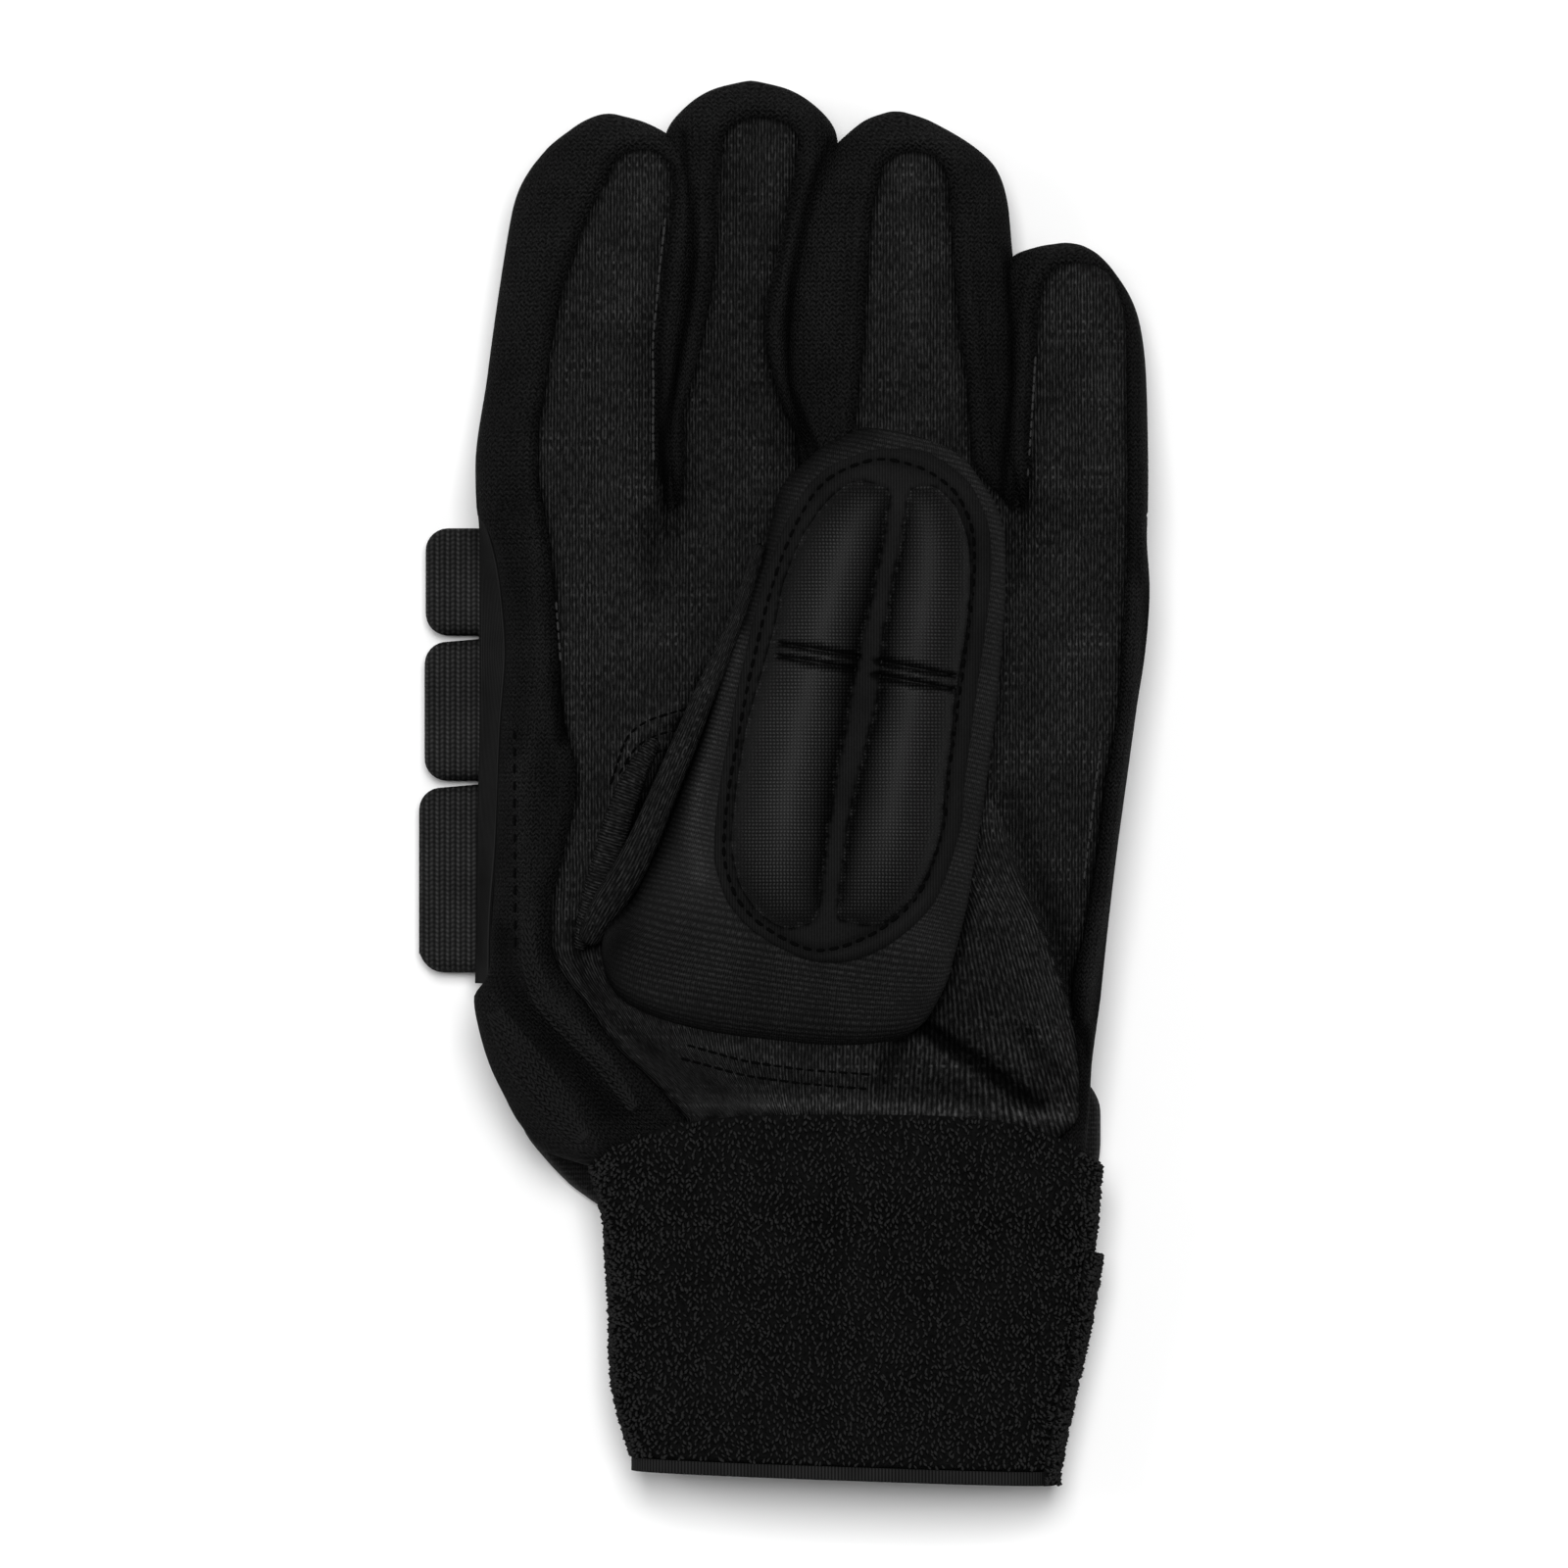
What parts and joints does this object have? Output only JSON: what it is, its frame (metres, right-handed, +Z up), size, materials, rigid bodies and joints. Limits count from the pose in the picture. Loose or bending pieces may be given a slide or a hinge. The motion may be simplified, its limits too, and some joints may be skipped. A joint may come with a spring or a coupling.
{
  "type": "field hockey glove",
  "caption": "Left-hand padded indoor field hockey glove with a terry wristband, lying palm up with its thumb folded over the palm.",
  "frame": {"origin": "middle of the glove's bounding box, on the surface that it lies on", "axes": "+Y from the cuff to the fingertips, +Z up out of the palm, -X towards the index finger's side"},
  "size_m": [0.1313, 0.2519, 0.0552],
  "materials": {
    "palm_fabric": "ribbed warp knit",
    "jersey_knit": "matt knit",
    "stretch_weave": "ribbed stretch weave",
    "moulded_pad": "fabric moulded over foam",
    "guard_knit": "knit faced foam",
    "terry": "terry loop",
    "binding": "binding tape"
  },
  "bodies": {
    "root": {"palm_panel": "palm_fabric", "hand_knit": "jersey_knit", "finger_knit_index": "jersey_knit", "finger_knit_middle": "jersey_knit", "finger_knit_ring": "jersey_knit", "finger_knit_little": "jersey_knit", "thumb_back": "stretch_weave", "thumb_front": "palm_fabric", "thumb_pad": "moulded_pad", "back_guard": "guard_knit", "wrist_guard": "stretch_weave", "guard_hem": "binding", "cuff_band": "terry", "cuff_hem": "binding", "cuff_strap": "terry"}
  },
  "joints": []
}
